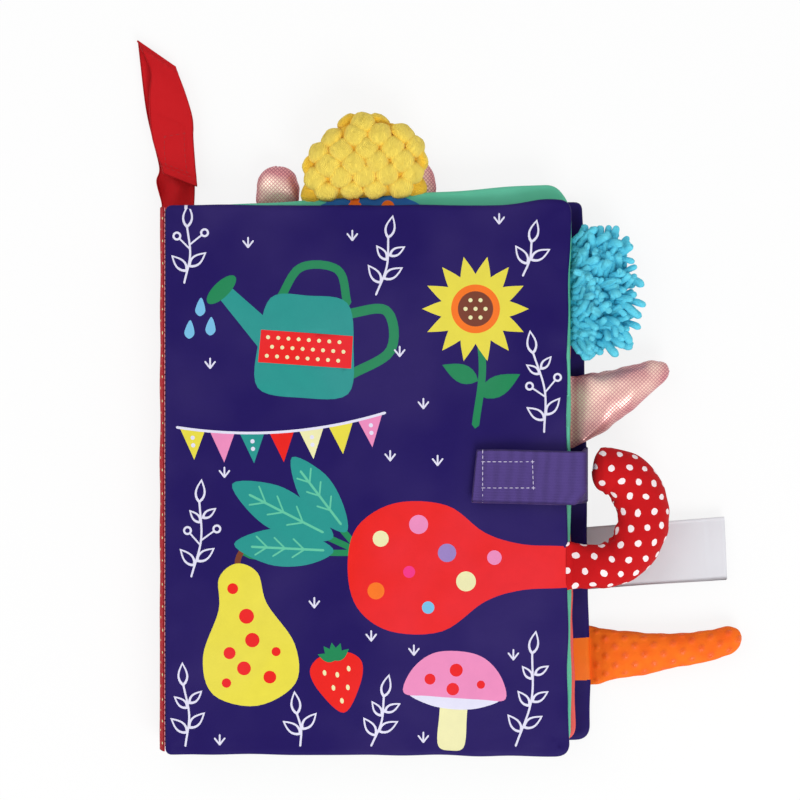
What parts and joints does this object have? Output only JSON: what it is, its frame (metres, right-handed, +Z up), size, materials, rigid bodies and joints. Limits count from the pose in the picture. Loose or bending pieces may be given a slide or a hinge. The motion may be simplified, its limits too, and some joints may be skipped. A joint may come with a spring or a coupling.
{
  "type": "crinkle cloth book",
  "caption": "Soft cloth book with padded crinkle pages bound in a fabric spine, a hook-and-loop closure strap, a hanging strap and stuffed textured tails around the page edges.",
  "frame": {"origin": "middle of the flat outside face of the back cover, on which the closed book lies", "axes": "+X from the bound edge to the fore edge, +Y to the top of the pages, +Z up out of the front cover"},
  "size_m": [0.2603, 0.3028, 0.0321],
  "materials": {
    "printed_indigo": "smooth printed polyester, deep indigo with printed motifs",
    "printed_coral": "smooth printed polyester, coral pages",
    "printed_mint": "smooth printed polyester, mint pages and lining",
    "wadding": "thin white polyester wadding",
    "crinkle_film": "thin crinkly plastic film",
    "spine_cloth": "red printed polyester with small cream dots",
    "purple_webbing": "ribbed purple webbing with pale topstitching",
    "purple_hook_and_loop": "matte hook and loop tape",
    "red_strap_cloth": "smooth red polyester strap",
    "red_hook_and_loop": "matte red hook and loop tape",
    "white_satin": "soft white satin label ribbon, bare",
    "yellow_bobble_fleece": "yellow bobble fleece",
    "blue_chenille": "sky blue chenille shag",
    "rose_metallic_cloth": "rose cloth with a fine gold foil mesh",
    "orange_dimple_plush": "orange plush with raised dots",
    "red_dotted_cloth": "red cotton with white polka dots",
    "stuffing": "white polyester fibre filling"
  },
  "bodies": {
    "back_cover": {"back_cover_outer": "printed_indigo", "back_cover_lining": "printed_indigo", "back_cover_wadding": "wadding", "back_cover_crinkle_film": "crinkle_film", "closure_strap_wall": "purple_webbing"},
    "spine": {"spine_strip": "spine_cloth"},
    "leaf_3": {"leaf_3_back_page": "printed_coral", "leaf_3_front_page": "printed_coral", "leaf_3_wadding": "wadding", "leaf_3_crinkle_film": "crinkle_film"},
    "leaf_2": {"leaf_2_back_page": "printed_mint", "leaf_2_front_page": "printed_mint", "leaf_2_wadding": "wadding", "leaf_2_crinkle_film": "crinkle_film"},
    "front_cover": {"front_cover_lining": "printed_mint", "front_cover_outer": "printed_indigo", "front_cover_wadding": "wadding", "front_cover_crinkle_film": "crinkle_film", "closure_loop_patch": "purple_hook_and_loop"},
    "strap_flap": {"closure_strap_flap": "purple_webbing", "closure_hook_patch": "purple_hook_and_loop"},
    "hanging_strap": {"hanging_strap_back_ply": "red_strap_cloth", "hanging_strap_loop_patch": "red_hook_and_loop"},
    "hanging_strap_end": {"hanging_strap_front_ply": "red_strap_cloth", "hanging_strap_hook_patch": "red_hook_and_loop"},
    "tag_label": {"tag": "white_satin"},
    "yellow_tail": {"yellow_tail_cloth": "yellow_bobble_fleece", "yellow_tail_stuffing": "stuffing"},
    "blue_tail": {"blue_tail_cloth": "blue_chenille", "blue_tail_stuffing": "stuffing"},
    "pink_tail": {"pink_tail_cloth": "rose_metallic_cloth", "pink_tail_stuffing": "stuffing"},
    "top_stub_left": {"top_stub_left_cloth": "rose_metallic_cloth", "top_stub_left_stuffing": "stuffing"},
    "top_stub_right": {"top_stub_right_cloth": "rose_metallic_cloth", "top_stub_right_stuffing": "stuffing"},
    "orange_tail": {"orange_tail_cloth": "orange_dimple_plush", "orange_tail_stuffing": "stuffing"},
    "red_tail": {"red_tail_cloth": "red_dotted_cloth", "red_tail_stuffing": "stuffing"}
  },
  "joints": [
    {"name": "book_open", "type": "hinge", "parent": "back_cover", "child": "spine", "pos_m": [-0.08515, 0, 0.003], "axis": [0, -1, 0], "range_deg": [0, 88]},
    {"name": "front_cover_turn", "type": "hinge", "parent": "spine", "child": "front_cover", "pos_m": [-0.08515, 0, 0.0222], "axis": [0, -1, 0], "range_deg": [0, 88.1]},
    {"name": "leaf_2_turn", "type": "hinge", "parent": "spine", "child": "leaf_2", "pos_m": [-0.0863, 0, 0.0158], "axis": [0, -1, 0], "range_deg": [0, 29.4]},
    {"name": "leaf_3_turn", "type": "hinge", "parent": "spine", "child": "leaf_3", "pos_m": [-0.0863, 0, 0.0094], "axis": [0, -1, 0], "range_deg": [-29.4, 0]},
    {"name": "strap_release", "type": "hinge", "parent": "back_cover", "child": "strap_flap", "pos_m": [0.09327, 0.0015, 0.0269], "axis": [0, 1, 0], "range_deg": [0, 115], "deforming": ["closure_strap_flap", "closure_hook_patch"]},
    {"name": "hanging_strap_swing", "type": "hinge", "parent": "back_cover", "child": "hanging_strap", "pos_m": [-0.0815, 0.1191, 0.003], "axis": [1, 0, 0], "range_deg": [0, 45]},
    {"name": "hanging_strap_open", "type": "hinge", "parent": "hanging_strap", "child": "hanging_strap_end", "pos_m": [-0.0894, 0.17989, 0.00255], "axis": [-0.9019, 0.4319, 0], "range_deg": [0, 120]},
    {"name": "tag_bend", "type": "hinge", "parent": "back_cover", "child": "tag_label", "pos_m": [0.09525, -0.03449, 0.003], "axis": [0, 1, 0], "range_deg": [-14, 0], "stiffness_Nm_per_rad": 0.01},
    {"name": "yellow_tail_bend", "type": "hinge", "parent": "leaf_2", "child": "yellow_tail", "pos_m": [-0.001, 0.12027, 0.0158], "axis": [-1, 0, 0], "range_deg": [-25, 2], "stiffness_Nm_per_rad": 0.06},
    {"name": "blue_tail_bend", "type": "hinge", "parent": "leaf_2", "child": "blue_tail", "pos_m": [0.0871, 0.0795, 0.0158], "axis": [0, 1, 0], "range_deg": [-25, 8], "stiffness_Nm_per_rad": 0.06},
    {"name": "pink_tail_bend", "type": "hinge", "parent": "leaf_3", "child": "pink_tail", "pos_m": [0.0884, 0.029, 0.0094], "axis": [0, 1, 0], "range_deg": [-25, 2], "stiffness_Nm_per_rad": 0.06},
    {"name": "top_stub_left_bend", "type": "hinge", "parent": "leaf_3", "child": "top_stub_left", "pos_m": [-0.0382, 0.1165, 0.0094], "axis": [-1, 0, 0], "range_deg": [-10, 3], "stiffness_Nm_per_rad": 0.03},
    {"name": "top_stub_right_bend", "type": "hinge", "parent": "leaf_3", "child": "top_stub_right", "pos_m": [0.0202, 0.1165, 0.0094], "axis": [-1, 0, 0], "range_deg": [-3, 3], "stiffness_Nm_per_rad": 0.03},
    {"name": "orange_tail_bend", "type": "hinge", "parent": "back_cover", "child": "orange_tail", "pos_m": [0.09592, -0.07649, 0.003], "axis": [0, 1, 0], "range_deg": [-30, 0], "stiffness_Nm_per_rad": 0.06},
    {"name": "red_tail_bend", "type": "hinge", "parent": "front_cover", "child": "red_tail", "pos_m": [0.0863, -0.0366, 0.0222], "axis": [0, 1, 0], "range_deg": [-25, 8], "stiffness_Nm_per_rad": 0.08}
  ],
  "couplings": [
    {"joint": "front_cover_turn", "follows": "book_open", "ratio": 1},
    {"joint": "leaf_2_turn", "follows": "book_open", "ratio": 0.33333},
    {"joint": "leaf_3_turn", "follows": "book_open", "ratio": -0.33333}
  ]
}
